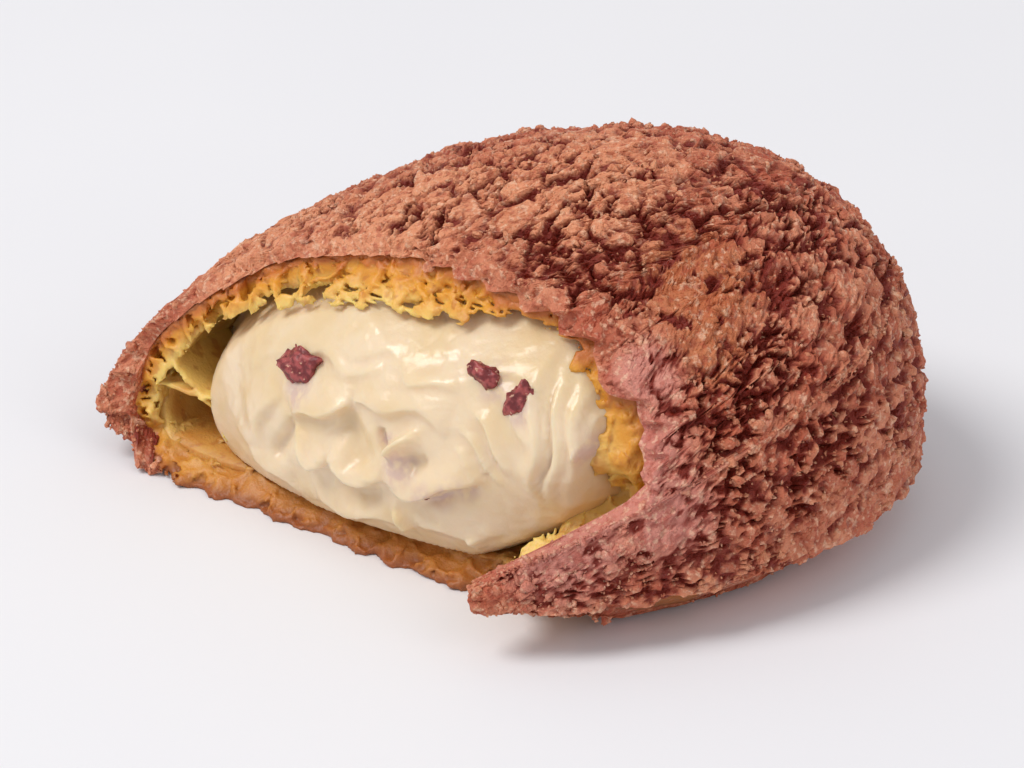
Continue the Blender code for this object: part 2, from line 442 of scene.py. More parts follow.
def new_finish(name, roughness):
    """A material, with its node tree, its shader, object places and a reader of marks."""
    material = bpy.data.materials.new(name)
    material.use_nodes = True
    tree = material.node_tree
    shader = tree.nodes["Principled BSDF"]
    shader.inputs["Roughness"].default_value = roughness
    place = add_node(tree, "ShaderNodeTexCoord", output="Object")

    def read(mark_name):
        return Measure(add_node(tree, "ShaderNodeAttribute", output="Fac", attribute_name=mark_name))
    return material, tree, shader, place, read


def roughen(tree, shader, height, depth):
    """Fine relief, too small for the mesh."""
    bump = add_node(tree, "ShaderNodeBump", {"Height": height, "Distance": depth})
    tree.links.new(bump, shader.inputs["Normal"])


def translucent(shader, weight, radius, tint):
    """Let light into the food a little way."""
    shader.inputs["Subsurface Weight"].default_value = weight
    shader.inputs["Subsurface Radius"].default_value = tint
    shader.inputs["Subsurface Scale"].default_value = radius


# Browned outside, orange just under it, then vivid and pale yellow towards the cavity, with painted shade in dark
# brown deep in the hollow at the left.
choux_finish, tree, shader, place, read = new_finish("choux", 0.45)
skin_depth = read("skin_depth") / MM
skin_depth = skin_depth + (grain(tree, place, 3.0 * MM, 3.0) - 0.5) * 1.6
color = mixed(tree, ease(skin_depth, -0.3, 0.3), hue(124, 62, 30), hue(196, 110, 44))
color = mixed(tree, ease(skin_depth, 0.5, 1.5), color, hue(224, 156, 52))
color = mixed(tree, ease(skin_depth, 1.5, 3.2), color, hue(238, 200, 112))
baked = ease(grain(tree, place, 5.0 * MM, 2.0, 3.0), 0.5, 0.7)
color = mixed(tree, baked * 0.6, color, hue(196, 122, 46))
baked_edge = ease(grain(tree, place, 1.3 * MM, 2.0, 6.0), 0.55, 0.68)
color = mixed(tree, baked_edge * 0.45, color, hue(176, 100, 40))
level = Measure(add_node(tree, "ShaderNodeSeparateXYZ", {0: place}, output=2))
leftward = Measure(add_node(tree, "ShaderNodeSeparateXYZ", {0: place}, output=0))
baked_floor = (0.7 - 0.7 * ease(level, 2.2 * MM, 6.0 * MM)) * (0.35 + 0.65 * ease(leftward, -36.0 * MM, -24.0 * MM))
color = mixed(tree, baked_floor, color, hue(176, 104, 50))
color = mixed(tree, 0.6 - 0.6 * ease(level, 0.2 * MM, 1.6 * MM), color, hue(120, 58, 28))
# Painted shade: dark brown deep inside the open hollow at the low, left end.
color = mixed(tree, read("painted_shade") * 0.75, color, hue(108, 44, 18))
tree.links.new(color, shader.inputs["Base Color"])
roughen(tree, shader, grain(tree, place, 0.35 * MM, 3.0), 0.12 * MM)
translucent(shader, 0.3, 1.2 * MM, (1.0, 0.6, 0.2))

CHOUX_OUTSIDE = CRUST + GAP
BASE_POLE = np.array((0.6, 0.8, 0.15))
SKIN_STEP_BACK = 3.0 * MM       # the smooth part of the case ends this far behind the tear


def choux_outside(x, y, z):
    return smaller(puff_depth(x, y, z, CHOUX_OUTSIDE), z - 0.05 * MM)


def choux_hollow(x, y, z):
    return smaller(puff_depth(x, y, z, hollow_inset(x, y, z)), z - FLOOR)


def behind_choux_tear(place):
    along, height = place @ ALONG_TEAR, place[:, 2]
    step_back = SKIN_STEP_BACK * (1.0 + 0.7 * ease(along, FLAP_START, FLAP_END))
    return tear_distance(along, height, FLAP_LAYER_STEP) + side_cover(along, height) - step_back - place @ TOWARDS_TEAR


CASE_CELLS = 130
HOLLOW_CELLS = 65
case_mesh = closed_mesh("choux_case",
                        opened_skin(CASE_CELLS, BASE_POLE, choux_outside, behind_choux_tear), CASE_CELLS,
                        opened_skin(HOLLOW_CELLS, BASE_POLE, choux_hollow, behind_choux_tear), HOLLOW_CELLS, 3)
case_places = places(case_mesh)
mark(case_mesh, "skin_depth", np.minimum(puff_depth(*case_places.T, CHOUX_OUTSIDE), case_places[:, 2]))

case_recipe = Recipe("baked skin", {"Blister size": 2.6 * MM, "Blister height": 0.35 * MM,
                                    "Wrinkle size": 0.9 * MM, "Wrinkle height": 0.14 * MM})
tree = case_recipe.tree
place = case_recipe.place()
blister = cell_middle(tree, stirred(tree, place, 3.0 * MM, 1.2 * MM), 2.6 * MM)
height = (0.5 - blister) * case_recipe.size("Blister height")
height = height + (grain(tree, place, 0.9 * MM, 3.0) - 0.5) * case_recipe.size("Wrinkle height") * 2.0
above_table = Measure(add_node(tree, "ShaderNodeSeparateXYZ", {0: place}, output=2))
height = height * ease(above_table, 0.2 * MM, 1.2 * MM)
normal = add_node(tree, "GeometryNodeInputNormal")
case_recipe.shift(add_node(tree, "ShaderNodeVectorMath", {0: normal, "Scale": height}, operation="SCALE"))
choux_case = new_piece("choux_case", case_mesh)
case_recipe.finish(choux_case, choux_finish)
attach(choux_case, "root")

# ---------------------------------------------------------------------------
# Torn choux: the crumb that shows where the wall was pulled apart, a stiff froth of
# thin egg films. Cells are small under the crust and large by the cavity, and films
# are left standing across the hollow at the low end.
# ---------------------------------------------------------------------------
CRUMB_FINENESS = 0.34 * MM
SLANT = 3.3 * MM                # high up and at the right, the torn face slopes back to the crust
SLANT_UP = (14.0 * MM, 26.0 * MM)
SLANT_SIDE = (12.0 * MM, 20.0 * MM)
SLANT_SIDE_UP = (11.0 * MM, 16.0 * MM)
FLAP_HOLLOWED = 3.0 * MM        # the wall is torn lower on its inner side than under the crust
CRUMB_LOW = np.array((-42.0, -31.0, -0.6)) * MM     # along the tear, back from it, up
CRUMB_HIGH = np.array((36.0, -1.0, 38.0)) * MM
steps = np.ceil((CRUMB_HIGH - CRUMB_LOW) / CRUMB_FINENESS).astype(int)
crumb_recipe = Recipe("torn froth", {
    "Film": 0.23 * MM, "Film change": 0.16 * MM, "Shallow pit": 1.2 * MM, "Deep pit": 1.4 * MM,
    "Tatter": 1.5 * MM, "Tooth": 2.8 * MM, "Solid skin": 0.5 * MM, "Lining": 0.42 * MM,
    "Fine cell": 1.7 * MM, "Large cell": 2.9 * MM, "Left cell": 3.8 * MM, "Ragged floor": 4.2 * MM, "Floor slope": 2.2 * MM, "Floor crumb": 1.4 * MM, "Flap step back": 1.8 * MM,
    "Corner sponge": 1.6 * MM, "Side sponge": 3.4 * MM, "Rough skin": 1.1 * MM, "Hollow film": 0.24 * MM})
SPONGE_CORNER = (11.0 * MM, 18.0 * MM, 14.0 * MM, 21.0 * MM)    # along from, to; fading up from, to
SPONGE_SIDE = (17.0 * MM, 23.0 * MM, 22.0 * MM, 29.0 * MM)
# Films across the hollow: each runs through two places (along, up), in millimetres.
HOLLOW_FILMS = (((-34.5, 10.6), (-29.6, 6.8), 0.5), ((-36.3, 6.4), (-28.1, 6.2), 1.5))
tree = crumb_recipe.tree
size = crumb_recipe.size
here = crumb_recipe.place()
along = Measure(add_node(tree, "ShaderNodeSeparateXYZ", {0: here}, output=0))
back = Measure(add_node(tree, "ShaderNodeSeparateXYZ", {0: here}, output=1))
up = Measure(add_node(tree, "ShaderNodeSeparateXYZ", {0: here}, output=2))
x = along * 0.8 + back * 0.6
y = along * -0.6 + back * 0.8
tooth = (grain(tree, here, 3.0 * MM, 2.0, 8.0) - 0.5) * size("Tooth")
skin = puff_depth(x, y, up, CHOUX_OUTSIDE - 0.35 * MM) + tooth * 0.2
skin = skin + (grain(tree, here, 1.4 * MM, 2.0, 14.0) - 0.5) * size("Rough skin")
hollow = smaller(puff_depth(x, y, up, hollow_inset(x, y, up)), up - FLOOR)


def sponge(thickness, start, end, low, high):
    """Extra thickness of the wall inside, at so far along the tear and up."""
    return size(thickness) * ease(along, start, end) * (1.0 - ease(up, low, high))


inner = sponge("Corner sponge", *SPONGE_CORNER) + sponge("Side sponge", *SPONGE_SIDE) + tooth - hollow
tatter = (grain(tree, here, 2.2 * MM, 3.0) - 0.5) * size("Tatter")
sloped = larger(ease(up, *SLANT_UP), ease(along, *SLANT_SIDE) * ease(up, *SLANT_SIDE_UP))
slant = SLANT * (1.0 - ease(skin, 0.2 * MM, 3.2 * MM)) * sloped
flap_step = 1.2 * MM + FLAP_HOLLOWED * ease(skin, 0.3 * MM, 3.3 * MM)
flap_back = size("Flap step back") * ease(along, 13.0 * MM, 18.0 * MM) * (1.0 - ease(up, 11.0 * MM, 15.0 * MM))
behind = tear_distance(along, up, flap_step) + side_cover(along, up) + back + tatter - slant - flap_back
floor_tatter = (grain(tree, here, 5.0 * MM, 3.0, 12.0) - 0.5) * size("Ragged floor")
floor_tatter = floor_tatter + (grain(tree, here, 1.3 * MM, 2.0, 15.0) - 0.5) * size("Floor crumb")
floor_slope = size("Floor slope") * ease(up, 0.5 * MM, 2.6 * MM) * (1.0 - ease(along, 12.0 * MM, 17.0 * MM))
behind = behind + (floor_tatter - floor_slope) * (1.0 - ease(up, 2.8 * MM, 5.5 * MM))
stir = stirred(tree, stirred(tree, here, 3.0 * MM, 2.4 * MM), 1.0 * MM, 0.6 * MM)
film = size("Film") + (grain(tree, here, 1.6 * MM, 1.0, 4.0) - 0.5) * size("Film change")
leftness = ease(-along, 6.0 * MM, 16.0 * MM)
fine_wall = film - cell_wall(tree, stir, size("Fine cell"))
large_wall = film - cell_wall(tree, stir, size("Large cell"))
left_wall = film - cell_wall(tree, stir, size("Left cell"))
large_wall = large_wall + (left_wall - large_wall) * leftness
froth = fine_wall + (large_wall - fine_wall) * ease(skin, 1.1 * MM, 2.4 * MM)
open_depth = smaller(behind, inner + 0.4 * MM)
upness = ease(up, 2.5 * MM, 5.0 * MM)
pit = size("Shallow pit") * (0.7 + 0.3 * upness) * (1.0 - 0.15 * ease(along, 12.0 * MM, 18.0 * MM)) + size("Deep pit") * leftness * upness
solid = larger(froth, larger(open_depth - pit, size("Solid skin") - skin))
solid = larger(solid, (0.45 * MM - up) + tooth * 0.3)
solid = larger(solid, size("Lining") * (1.0 - leftness) - inner)
band = smaller(smaller(smaller(skin, up), inner), smaller(behind, solid))
bow = (grain(tree, here, 9.0 * MM, 1.0, 5.0) - 0.5) * 2.0 * MM
films = None
for (start_along, start_up), (end_along, end_up), sag in HOLLOW_FILMS:
    run, rise = end_along - start_along, end_up - start_up
    length = math.hypot(run, rise)
    off = ((along - start_along * MM) * (-rise / length) + (up - start_up * MM) * (run / length)
           + bow * sag + back * 0.15)
    film_here = size("Hollow film") - work_out("ABSOLUTE", off)
    films = film_here if films is None else larger(films, film_here)
left_end = -along - 22.0 * MM
tatters = behind - 1.0 * MM + (grain(tree, here, 3.0 * MM, 2.0, 2.0) - 0.5) * 4.0 * MM
fill = smaller(smaller(hollow + 0.6 * MM, tatters), smaller(films, left_end))
crumb = larger(band, fill)
deepest = 7.5 * MM + 6.0 * MM * ease(-along, 14.0 * MM, 20.0 * MM)
crumb = smaller(crumb, deepest - behind)
density = 1.0 + smaller(0.9, larger(-0.9, crumb / MM))
froth_block = add_node(tree, "GeometryNodeVolumeCube", {
    "Density": density, "Min": tuple(CRUMB_LOW), "Max": tuple(CRUMB_HIGH),
    "Resolution X": int(steps[0]), "Resolution Y": int(steps[1]), "Resolution Z": int(steps[2])})
crumb_recipe.shape = add_node(tree, "GeometryNodeVolumeToMesh", {"Volume": froth_block, "Threshold": 1.0},
                              resolution_mode="GRID")
crumb_recipe.keep("skin_depth", smaller(skin - 0.35 * MM, up + 0.2 * MM))
# How deep in the open hollow at the left a place lies, for the choux colour to paint shade there.
crumb_recipe.keep("painted_shade", ease(open_depth, 2.5 * MM, 8.0 * MM) * leftness)
crumb_recipe.shape = add_node(tree, "GeometryNodeTransform",
                              {"Geometry": crumb_recipe.shape,
                               "Rotation": (0.0, 0.0, math.atan2(-0.6, 0.8))})
crumb_recipe.shape = add_node(tree, "GeometryNodeSetShadeSmooth", {"Geometry": crumb_recipe.shape})
choux_crumb = new_piece("choux_crumb", bpy.data.meshes.new("choux_crumb"))
crumb_recipe.finish(choux_crumb, choux_finish)
print("crumb faces", len(choux_crumb.data.polygons), [len(p.data.polygons) for p in (choux_case,)])
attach(choux_crumb, "root")
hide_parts("choux_shell")
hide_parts("choux_shell")

# ---------------------------------------------------------------------------
# Cookie crust: a thin round of red-brown sugar dough laid on the piped choux. It
# spread and cracked as the puff rose, and set as a rough, granular coat that ends
# in an overhanging hem above the base.
# ---------------------------------------------------------------------------
CRUST_SETBACK = 2.5 * MM
SETBACK_LOW = 14.0 * MM
SETBACK_HIGH = 26.0 * MM
CRUST_FOOT = 0.5 * MM           # the coat runs down to just above the table
CRUST_POLE = np.array((0.824, 0.476, 0.309))
CRUST_CELLS = 285
CRUST_INSIDE_CELLS = 57
CRUST_EDGE_ROWS = 6
EDGE_RELIEF = 0.35
EDGE_FADE = 0.03                # share of the way in from the edge over which the relief grows
TIP_COVER = 1.6 * MM            # the crust wraps this much further round the low, left tip
TIP_ALONG = (33.0 * MM, 36.0 * MM)
TIP_UP = (9.0 * MM, 15.0 * MM)
TIP_THICKENED = 2.0 * MM        # and is this much thicker there
SQUARE_EDGE_UP = (13.0 * MM, 18.0 * MM)
CRUMBLE_WAVES = ((3.7, 2.9, 0.5), (1.9, 2.3, 0.3), (1.1, 0.8, 0.15))     # along, up, depth in mm


def crust_outside(x, y, z):
    return puff_depth(x, y, z, 0.0)


def crust_inside(x, y, z):
    tip = ease(z * 0.0 - (0.8 * x - 0.6 * y), *TIP_ALONG) * (1.0 - ease(z, *TIP_UP))
    return puff_depth(x, y, z, CRUST) - TIP_THICKENED * tip


def behind_crust_tear(place):
    along, height = place @ ALONG_TEAR, place[:, 2]
    setback = CRUST_SETBACK * ease(height, SETBACK_LOW, SETBACK_HIGH) * (1.0 - 0.1 * ease(along, *SIDE_ALONG))
    setback = setback - side_cover(along, height)
    setback = setback - TIP_COVER * ease(-along, *TIP_ALONG) * (1.0 - ease(height, *TIP_UP))
    for along_wave, up_wave, depth in CRUMBLE_WAVES:
        crumbled = wave(along + 0.4 * height, along_wave * MM) + wave(height - 0.3 * along, up_wave * MM)
        setback = setback + 0.5 * depth * MM * crumbled
    reach = tear_distance(along, height, 0.0) - setback - place @ TOWARDS_TEAR
    return np.minimum(reach, height - CRUST_FOOT)


def near_spots(place, spots):
    """How near each place is to the nearest of some spots: 1 at its middle, 0 at its rim."""
    nearest = np.zeros(len(place))
    for *middle, radius in spots:
        away = np.linalg.norm(place - np.array(middle) * MM, axis=1) / (radius * MM)
        nearest = np.maximum(nearest, 1.0 - ease(away, 0.35, 1.0))
    return nearest


def crust_cut(x, y, z):
    """Low down the coat broke off square to its face, above that it hangs as a thin edge."""
    return puff_depth(x, y, z, CRUST * (1.0 - ease(z, *SQUARE_EDGE_UP)))


crust_front = opened_skin(CRUST_CELLS, CRUST_POLE, crust_outside, behind_crust_tear, crust_cut)
crust_back = opened_skin(CRUST_INSIDE_CELLS, CRUST_POLE, crust_inside, behind_crust_tear)
crust_mesh = closed_mesh("crust_skin", crust_front, CRUST_CELLS, crust_back, CRUST_INSIDE_CELLS,
                         CRUST_EDGE_ROWS)
crust_places = places(crust_mesh)
outer = np.full(len(crust_places), EDGE_RELIEF)     # how much of the relief shows, 1 on the outside
outer[:len(crust_front)] = EDGE_RELIEF + (1.0 - EDGE_RELIEF) * ease(1.0 - round_grid(CRUST_CELLS)[0], 0.0, EDGE_FADE)
outer[len(crust_front):len(crust_front) + len(crust_back)] = 0.0
mark(crust_mesh, "outer", outer)
SLABS = ((-10, -3, 33, 17), (6, -5, 36, 17), (-24, 8, 25, 14))      # middle and radius in mm
PLUM = ((12, -30, 19, 9), (6, -33, 12, 9), (15, -29, 13, 8), (14, -25, 25, 5))
TAN = ((19, -17, 31, 9), (20, -22, 27, 6))
TIP = ((-40, 7, 8, 8), (-39, 10, 12, 6))
CRUMBLY = ((0, -35, 7, 6), (5, -34, 8, 5), (11, -32, 10, 5), (-41, 7, 7, 7))
mark(crust_mesh, "slabs", near_spots(crust_places, SLABS))
mark(crust_mesh, "plum", near_spots(crust_places, PLUM))
mark(crust_mesh, "tan", near_spots(crust_places, TAN))
mark(crust_mesh, "tip", near_spots(crust_places, TIP))
mark(crust_mesh, "crumbly", near_spots(crust_places, CRUMBLY))

# Deep maroon painted shade in the cracks, pits and the crease under the hem, red-brown to peach on the crumbs with
# painted highlight on their high points, plum where it is bare.
crust_finish, tree, shader, place, read = new_finish("cookie crust", 0.55)
crevice_shade = read("crevice_shade")
highlight_and_tone = read("highlight_and_tone")
color = mixed(tree, ease(grain(tree, place, 4.0 * MM, 3.0), 0.38, 0.62), hue(188, 98, 68), hue(214, 134, 100))
color = mixed(tree, ease(grain(tree, place, 8.0 * MM, 2.0, 5.0), 0.5, 0.7) * 0.5, color, hue(196, 88, 58))
# Painted highlight: peach on the high points of the relief; on the loose crumbs a lighter tone at random.
color = mixed(tree, highlight_and_tone * 0.6, color, hue(238, 172, 130))
# Lighter peach on the flat flakes at the crown and upper left, where the lamp falls: partly their own colour, partly
# painted light.
color = mixed(tree, read("slabs") * 0.55, color, hue(240, 166, 122))
color = mixed(tree, read("plum") * 0.75, color, hue(214, 140, 128))
color = mixed(tree, read("tan") * 0.65, color, hue(190, 108, 58))
sugar = ease(grain(tree, place, 0.6 * MM, 2.0, 1.0), 0.52, 0.66)
color = mixed(tree, sugar * 0.5, color, hue(250, 206, 172))
speckle = ease(grain(tree, place, 0.9 * MM, 3.0, 7.0), 0.52, 0.64)
color = mixed(tree, speckle * 0.5, color, hue(168, 62, 38))
# Painted shade: deep maroon in the cracks, pits and the crease under the hem.
color = mixed(tree, ease(crevice_shade, 0.08, 0.62), color, hue(128, 34, 14))
tree.links.new(color, shader.inputs["Base Color"])
tree.links.new((0.62 - 0.32 * sugar).socket, shader.inputs["Roughness"])
fine = grain(tree, place, 0.2 * MM, 3.0) + cell_middle(tree, place, 0.45 * MM) * -0.7
roughen(tree, shader, fine, 0.25 * MM)
translucent(shader, 0.06, 0.8 * MM, (1.0, 0.4, 0.2))

SLAB_TURN = math.radians(-52.0)
SLAB_STRETCH = (0.55, 1.1, 1.0)
crust_recipe = Recipe("cracked sugar dough", {
    "Swell size": 11.0 * MM, "Swell height": 0.6 * MM,
    "Clump size": 3.4 * MM, "Clump height": 0.65 * MM, "Crack width": 0.42 * MM, "Crack depth": 1.35 * MM,
    "Nub size": 1.45 * MM, "Nub height": 0.45 * MM, "Split depth": 0.65 * MM,
    "Pit size": 2.0 * MM, "Pit depth": 0.8 * MM,
    "Grain size": 0.7 * MM, "Grain height": 0.25 * MM,
    "Jag size": 1.1 * MM, "Jag": 1.0 * MM,
    "Hem height": 4.9 * MM, "Hem bulge": 0.45 * MM, "Hem tuck": 1.5 * MM, "Hem crease": 0.6 * MM, "Tip bulge": 0.3 * MM})
tree = crust_recipe.tree
place = crust_recipe.place()
size = crust_recipe.size
plum, slabs = crust_recipe.read("plum"), crust_recipe.read("slabs")
above = Measure(add_node(tree, "ShaderNodeSeparateXYZ", {0: place}, output=2))
calm = larger(larger(plum, crust_recipe.read("tan") * 0.8), 0.75 - 0.75 * ease(above, 5.0 * MM, 16.0 * MM))
gape = ease(grain(tree, place, 6.5 * MM, 2.0, 9.0), 0.40, 0.60)
jagged = stirred(tree, place, size("Clump size"), size("Clump size") * 0.9)
jagged = stirred(tree, jagged, size("Jag size"), size("Jag"))
turned = add_node(tree, "ShaderNodeVectorRotate", {"Vector": jagged, "Angle": SLAB_TURN},
                  rotation_type="Z_AXIS")
drawn = add_node(tree, "ShaderNodeVectorMath", {0: turned, 1: SLAB_STRETCH}, operation="MULTIPLY")


def broken(domain, narrowed):
    """How high the dough stands, cracked into clumps and nubs, and how deep in a crack it is, as the share of painted
    shade there.
    """
    crack_width = size("Crack width") * narrowed
    crack = 1.0 - ease(cell_wall(tree, domain, size("Clump size")), 0.0, crack_width)
    split = 1.0 - ease(cell_wall(tree, domain, size("Nub size")), 0.0, crack_width * 0.5)
    up = (cell_level(tree, domain, size("Clump size")) - 0.5) * size("Clump height") * (1.0 - calm * 0.5)
    up = up + (cell_level(tree, domain, size("Nub size")) - 0.5) * size("Nub height")
    up = up - crack * (0.25 + 0.75 * gape) * (1.0 - calm * 0.7) * size("Crack depth")
    up = up - split * (0.15 + 0.85 * gape) * (1.0 - calm * 0.4) * size("Split depth")
    painted_shade = crack * (0.35 + 0.65 * gape) * (1.0 - calm * 0.6) + split * (0.25 + 0.5 * gape) * (1.0 - calm * 0.4)
    return up, painted_shade


round_up, round_shade = broken(jagged, 1.0)
flake_up, flake_shade = broken(drawn, 0.75)
height = round_up + (flake_up - round_up) * slabs
painted_shade = round_shade + (flake_shade - round_shade) * slabs
pitted = ease(grain(tree, jagged, size("Pit size"), 2.0, 3.0), 0.62, 0.68)
height = height - pitted * size("Pit depth") * (1.0 - calm * 0.4)
swell = (grain(tree, place, size("Swell size"), 1.0) - 0.5) * 2.0
height = height + swell * size("Swell height") * (1.0 - calm * 0.5)
height = height + (cell_level(tree, place, size("Grain size")) - 0.5) * size("Grain height") - 0.1 * MM
hem = size("Hem height") + (grain(tree, place, 5.0 * MM, 2.0, 6.0) - 0.5) * 2.4 * MM
tucked = 1.0 - ease(above, hem - 0.25 * MM, hem + 0.25 * MM)
crease = 1.0 - ease(work_out("ABSOLUTE", above - hem + 0.5 * MM), 0.15 * MM, 0.6 * MM)
bulging = (1.0 - tucked) * (1.0 - ease(above, 6.0 * MM, 9.0 * MM))
height = height + size("Hem bulge") * bulging - size("Hem tuck") * tucked - crease * size("Hem crease")
height = height + size("Tip bulge") * crust_recipe.read("tip")
outer_mark = crust_recipe.read("outer")
height = height * outer_mark * (1.0 - plum * 0.45)
normal = add_node(tree, "GeometryNodeInputNormal")
# Painted shade: how deep a place lies in a crack, pit or the crease under the hem, for the crust colour to darken.
crust_recipe.keep("crevice_shade", smaller(1.0, painted_shade + pitted * 0.8 + tucked * 0.25 + crease * 0.7) * outer_mark)
# Painted highlight: the higher the dough stands, the more peach it is painted.
crust_recipe.keep("highlight_and_tone", ease(height / MM, 0.0, 1.1))
crust_recipe.shift(add_node(tree, "ShaderNodeVectorMath", {0: normal, "Scale": height}, operation="SCALE"))
lowered = Measure(add_node(tree, "ShaderNodeSeparateXYZ", {0: crust_recipe.place()}, output=2))
lift = add_node(tree, "ShaderNodeCombineXYZ", {"Z": larger(0.15 * MM - lowered, 0.0)})
crust_recipe.shift(lift)
crust_recipe.shape = add_node(tree, "GeometryNodeSetShadeSmooth",
                              {"Geometry": crust_recipe.shape, "Shade Smooth": False})
cookie_crust = new_piece("crust_skin", crust_mesh)
crust_recipe.finish(cookie_crust, crust_finish)
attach(cookie_crust, "root")
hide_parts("cookie_crust")

# ---------------------------------------------------------------------------
# Crumbs: broken bits of the same sugar dough that baked on to the crust, from nubs
# the size of a peppercorn down to single grains. Each is stuck fast, half sunk in.
# ---------------------------------------------------------------------------


def crumbs(name, radius, per_area, fineness, seed, sunk):
    """Rough nubs of a few shapes, strewn over the crust and turned at random."""
    recipe = Recipe(name, {"Radius": radius, "Per square metre": per_area, "Seed": seed, "Sunk": sunk})
    tree = recipe.tree
    shapes = []
    for kind in range(5):
        ball = add_node(tree, "GeometryNodeMeshIcoSphere",
                        {"Radius": recipe.size("Radius"), "Subdivisions": fineness})
        spot = add_node(tree, "GeometryNodeInputPosition")
        push = add_node(tree, "ShaderNodeTexNoise", {"Vector": spot, "W": kind * 7.3, "Scale": 0.8 / radius,
                                                     "Detail": 1.0}, output=1, noise_dimensions="4D")
        centred = add_node(tree, "ShaderNodeVectorMath", {0: push, 1: (0.5, 0.5, 0.5)}, operation="SUBTRACT")
        offset = add_node(tree, "ShaderNodeVectorMath", {0: centred, "Scale": radius * 2.4}, operation="SCALE")
        rough = add_node(tree, "GeometryNodeSetPosition", {"Geometry": ball, "Offset": offset})
        shapes.append(add_node(tree, "GeometryNodeGeometryToInstance", {"Geometry": rough}))
    joined = tree.nodes.new("GeometryNodeJoinGeometry")
    for shape in shapes:
        tree.links.new(shape, joined.inputs[0])
    density = recipe.size("Per square metre") * ease(recipe.read("outer"), 0.1, 0.3)
    density = density * (1.0 - recipe.read("crevice_shade") * 0.8) * (1.0 - recipe.read("tan") * 0.6)
    density = density * (1.0 + recipe.read("crumbly") * 4.0 - recipe.read("plum") * 0.5)
    strewn = tree.nodes.new("GeometryNodeDistributePointsOnFaces")
    tree.links.new(recipe.shape, strewn.inputs["Mesh"])
    tree.links.new(density.socket, strewn.inputs["Density"])
    tree.links.new(recipe.size("Seed").socket, strewn.inputs["Seed"])

    def chance(low, high, salt, kind="FLOAT", output=1, slots=(2, 3)):
        return add_node(tree, "FunctionNodeRandomValue", {slots[0]: low, slots[1]: high, "Seed": salt},
                        output=output, data_type=kind)
    turned = chance((0.0,) * 3, (math.tau,) * 3, 1, "FLOAT_VECTOR", 0, (0, 1))
    scaled = chance((0.55, 0.55, 0.4), (1.25, 1.1, 0.9), 2, "FLOAT_VECTOR", 0, (0, 1))
    picked = chance(0, 4, 3, "INT", 2, (4, 5))
    sink = add_node(tree, "ShaderNodeVectorMath", {0: strewn.outputs["Normal"], "Scale": -recipe.size("Sunk")},
                    operation="SCALE")
    points = add_node(tree, "GeometryNodeSetPosition", {"Geometry": strewn.outputs["Points"], "Offset": sink})
    recipe.shape = add_node(tree, "GeometryNodeInstanceOnPoints",
                            {"Points": points, "Instance": joined.outputs[0], "Pick Instance": True,
                             "Instance Index": picked, "Rotation": turned, "Scale": scaled})
    # Each crumb has its own tone at random; on the crust the same mark carries painted highlight.
    recipe.keep("highlight_and_tone", Measure(chance(0.0, 0.8, 4)), "INSTANCE")
    recipe.keep("crevice_shade", 0.0, "INSTANCE")
    recipe.shape = add_node(tree, "GeometryNodeSetShadeSmooth", {"Geometry": recipe.shape})
    piece = new_piece(name, cookie_crust.data.copy())
    recipe.finish(piece, crust_finish)
    print(name, len(piece.data.polygons))
    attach(piece, "root")
    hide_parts("cookie_crust")


crumbs("crust_nubs", 0.60 * MM, 0.07e6, 2, 11, 0.28 * MM)
crumbs("crust_grains", 0.24 * MM, 0.80e6, 1, 12, 0.07 * MM)

# ---------------------------------------------------------------------------
# Cream: thick custard lightened with whipped cream, piped in through the side. Where
# the case was torn off it has been dragged into soft folds, lips and little peaks.
# ---------------------------------------------------------------------------
CREAM_RIM = 14.0 * MM
CREAM_BULGE = 7.5 * MM
CREAM_HALF_WIDTH = 29.0 * MM
CREAM_HALF_HEIGHT = 14.5 * MM
CREAM_MIDDLE_ALONG = 1.5 * MM
CREAM_MIDDLE_HEIGHT = 12.0 * MM
CREAM_TILT = 0.14
CREAM_RECESS = 10.0 * MM
RECESS_START = 0.85
RECESS_END = 1.35
# At the right the cream falls away behind four slopes, each (along, up) in millimetres
# through a place and facing a way.
CREAM_SLOPES = (((21.0, 9.4), (0.874, -0.486)), ((21.0, 9.4), (0.552, -0.833)),
                ((22.4, 18.0), (1.0, 0.0)), ((20.6, 22.6), (0.75, 0.66)))
SLOPE_START = -1.0 * MM
SLOPE_END = 2.5 * MM
CREAM_SUNK = 1.5 * MM           # the cream has sunk this far from the roof in the middle
SUNK_ALONG = 7.0 * MM
SUNK_WIDTH = 10.0 * MM
CREAM_HEART = np.array((-3.0, -4.0, 12.0)) * MM
CREAM_POLE = TOWARDS_TEAR + UPWARDS * 0.3
CREAM_CELLS = 250
CREAM_BACK_CELLS = 50
CREAM_TURN = math.radians(105.0)


def cream_distance(along, height):
    """How far out the cream bulges on the torn side, before it was dragged."""
    across = (along - CREAM_MIDDLE_ALONG) / CREAM_HALF_WIDTH
    above = (height - CREAM_MIDDLE_HEIGHT - CREAM_TILT * along) / CREAM_HALF_HEIGHT
    spread = across ** 2 + above ** 2
    beyond = np.full(len(along), -1.0)
    for (slope_along, slope_up), (facing_along, facing_up) in CREAM_SLOPES:
        out = (along - slope_along * MM) * facing_along + (height - slope_up * MM) * facing_up
        beyond = np.maximum(beyond, out)
    return (CREAM_RIM + CREAM_BULGE * np.maximum(0.0, 1.0 - spread)
            - CREAM_RECESS * np.maximum(ease(spread, RECESS_START, RECESS_END),
                                        ease(beyond, SLOPE_START, SLOPE_END)))


